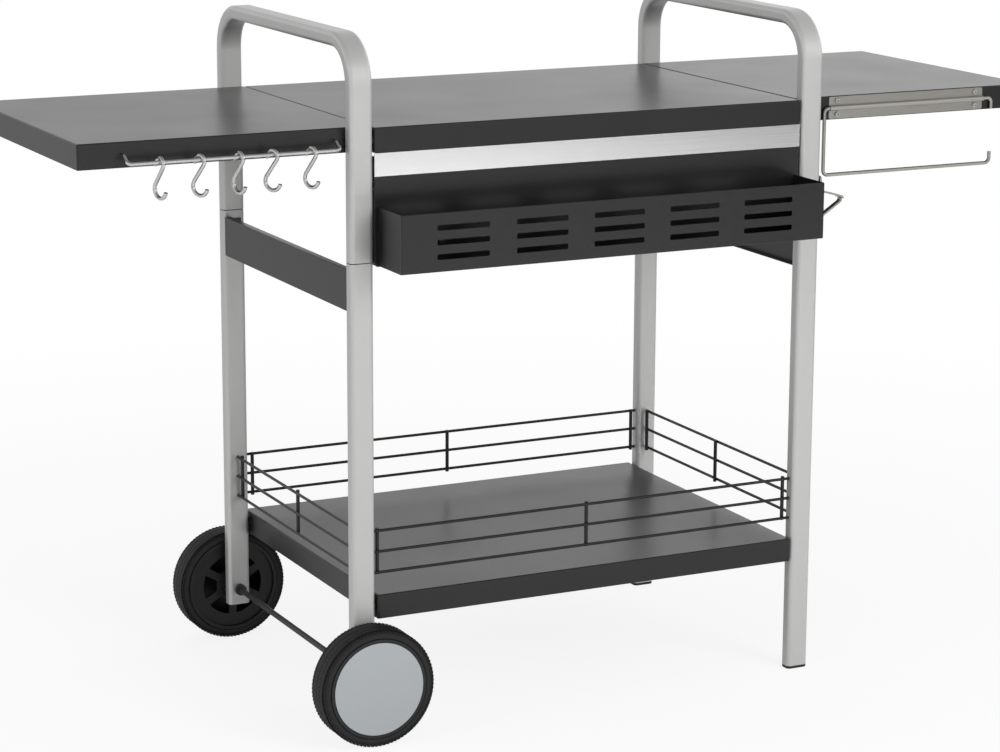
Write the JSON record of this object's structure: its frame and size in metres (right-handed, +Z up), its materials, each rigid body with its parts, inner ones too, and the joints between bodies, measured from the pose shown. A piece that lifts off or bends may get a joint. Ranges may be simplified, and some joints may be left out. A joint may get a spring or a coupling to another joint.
{
  "type": "grill table",
  "caption": "Outdoor grill table on wheels: sheet-metal worktop with side wings between tube handles, condiment basket, hook rail, towel-roll holder and a railed lower shelf.",
  "frame": {"origin": "middle of the table's footprint box, on the floor", "axes": "+X to the right along the table, +Y to the back, +Z up"},
  "size_m": [1.39, 0.583, 0.916],
  "materials": {
    "frame_tube": "satin silver",
    "dark_sheet": "satin dark grey",
    "stainless": "brushed",
    "bright_wire": "bright",
    "black_wire": "gloss black",
    "tyre": "matte",
    "black_plastic": "matte",
    "hubcap": "satin grey",
    "dark_steel": "dark",
    "zinc": "plated"
  },
  "bodies": {
    "frame": {"apron_bolts": "zinc", "axle": "dark_steel", "axle_collars": "zinc", "basket_screws": "dark_steel", "bottle_opener": "stainless", "centre_worktop": "dark_sheet", "condiment_basket": "dark_sheet", "foot_caps": "black_plastic", "front_apron": "dark_sheet", "front_left_leg": "frame_tube", "front_railing": "black_wire", "front_right_leg": "frame_tube", "hook_rail": "bright_wire", "hook_rail_nuts": "zinc", "left_handle": "frame_tube", "left_railing": "black_wire", "left_side_rail": "dark_sheet", "left_wing": "dark_sheet", "leg_connectors": "black_plastic", "leg_spacers": "black_plastic", "lower_shelf": "dark_sheet", "opener_screws": "zinc", "rear_apron": "dark_sheet", "rear_left_leg": "frame_tube", "rear_railing": "black_wire", "rear_right_leg": "frame_tube", "right_handle": "frame_tube", "right_railing": "black_wire", "right_side_rail": "dark_sheet", "right_wing": "dark_sheet", "shelf_bolts": "zinc", "shelf_stiffener": "dark_sheet", "side_rail_bolts": "zinc", "stainless_strip": "stainless", "towel_plate": "stainless", "towel_screws": "zinc", "wheel_lock_nuts": "zinc", "wheel_washers": "zinc", "wing_bolts": "zinc", "worktop_bolts": "zinc", "worktop_screws": "zinc", "worktop_stiffener": "dark_sheet"},
    "front_wheel": {"front_tyre": "tyre", "front_rim": "black_plastic", "front_hubcap": "hubcap"},
    "rear_wheel": {"rear_tyre": "tyre", "rear_rim": "black_plastic", "rear_hubcap": "hubcap"},
    "towel_bar": {"towel_wire": "stainless"},
    "s_hook_1": {"s_hook_1": "bright_wire"},
    "s_hook_2": {"s_hook_2": "bright_wire"},
    "s_hook_3": {"s_hook_3": "bright_wire"},
    "s_hook_4": {"s_hook_4": "bright_wire"},
    "s_hook_5": {"s_hook_5": "bright_wire"}
  },
  "joints": [
    {"name": "front_wheel_spin", "type": "hinge", "parent": "frame", "child": "front_wheel", "pos_m": [-0.33, -0.247, 0.079], "axis": [0, 1, 0], "continuous": true},
    {"name": "rear_wheel_spin", "type": "hinge", "parent": "frame", "child": "rear_wheel", "pos_m": [-0.33, 0.269, 0.079], "axis": [0, 1, 0], "continuous": true},
    {"name": "towel_bar_swing", "type": "hinge", "parent": "frame", "child": "towel_bar", "pos_m": [0.4925, -0.2047, 0.784], "axis": [-1, 0, 0], "range_deg": [0, 95]},
    {"name": "s_hook_1_swing", "type": "hinge", "parent": "frame", "child": "s_hook_1", "pos_m": [-0.5975, -0.2227, 0.775], "axis": [1, 0, 0], "range_deg": [-30, 30]},
    {"name": "s_hook_2_swing", "type": "hinge", "parent": "frame", "child": "s_hook_2", "pos_m": [-0.546, -0.2227, 0.775], "axis": [1, 0, 0], "range_deg": [-30, 30]},
    {"name": "s_hook_3_swing", "type": "hinge", "parent": "frame", "child": "s_hook_3", "pos_m": [-0.4945, -0.2227, 0.775], "axis": [1, 0, 0], "range_deg": [-30, 30]},
    {"name": "s_hook_4_swing", "type": "hinge", "parent": "frame", "child": "s_hook_4", "pos_m": [-0.4505, -0.2227, 0.775], "axis": [1, 0, 0], "range_deg": [-30, 30]},
    {"name": "s_hook_5_swing", "type": "hinge", "parent": "frame", "child": "s_hook_5", "pos_m": [-0.3985, -0.2227, 0.775], "axis": [1, 0, 0], "range_deg": [-30, 30]}
  ]
}
